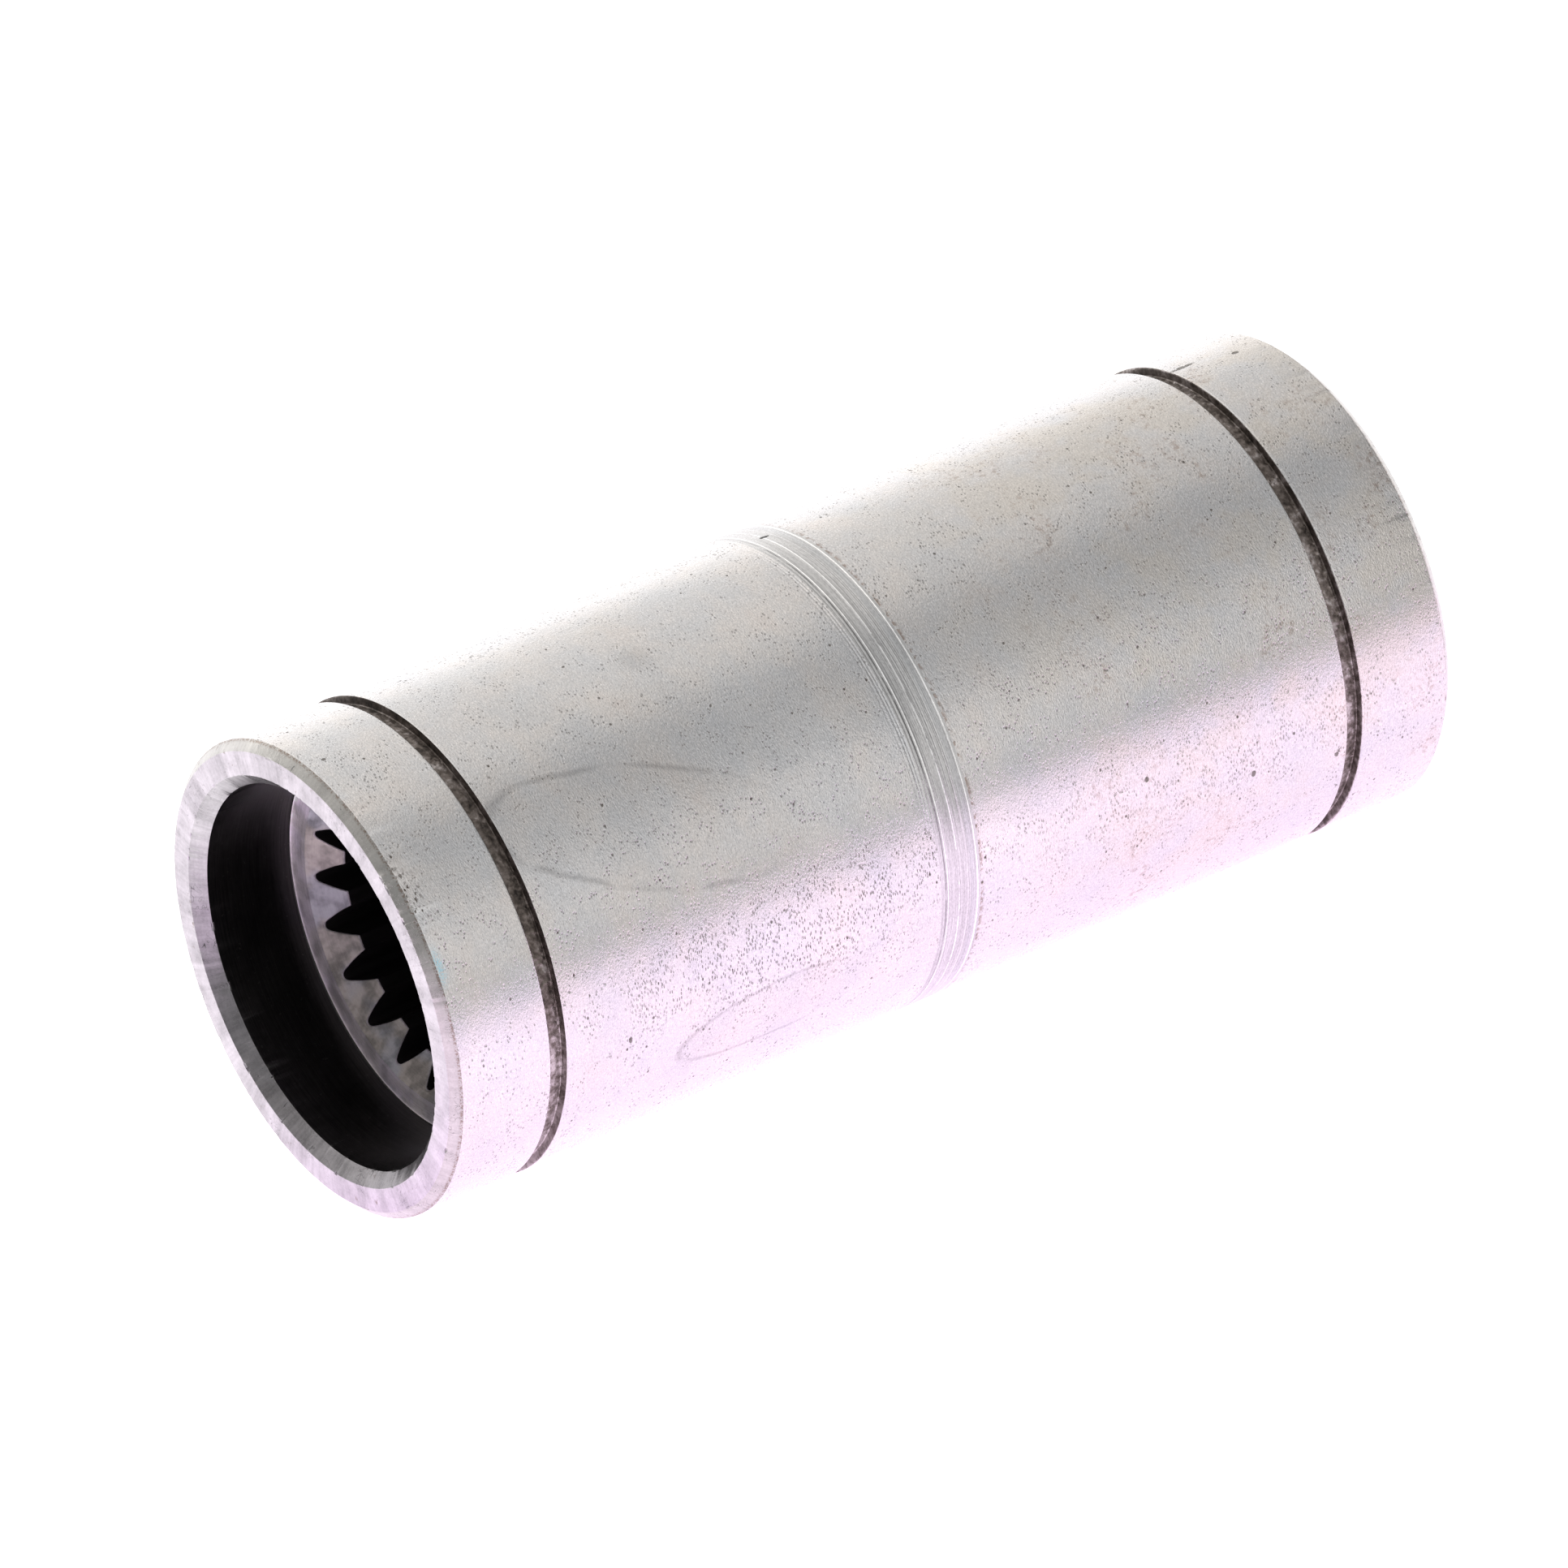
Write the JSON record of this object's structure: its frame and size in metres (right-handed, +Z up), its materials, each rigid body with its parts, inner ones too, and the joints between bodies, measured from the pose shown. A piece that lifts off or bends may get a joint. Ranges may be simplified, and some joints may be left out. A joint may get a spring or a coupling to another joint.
{
  "type": "rigid sleeve coupling",
  "caption": "Rigid steel sleeve coupling with an internal spline, a counterbore in each mouth and a ring groove near each end.",
  "frame": {"origin": "on the sleeve's axis, midway between its two end faces", "axes": "+X along the axis from the front mouth to the rear mouth, +Z up with the sleeve lying on its side, a spline tooth standing on +Z"},
  "size_m": [0.122, 0.0508, 0.0508],
  "materials": {
    "ground_steel": "ground outside, with fine marks round the axis",
    "weld_steel": "weld turned almost flush, with fine rings",
    "turned_steel": "plain turned"
  },
  "bodies": {
    "root": {"front_half": "ground_steel", "rear_half": "ground_steel", "weld_ring": "weld_steel", "stop_ring": "turned_steel"}
  },
  "joints": []
}
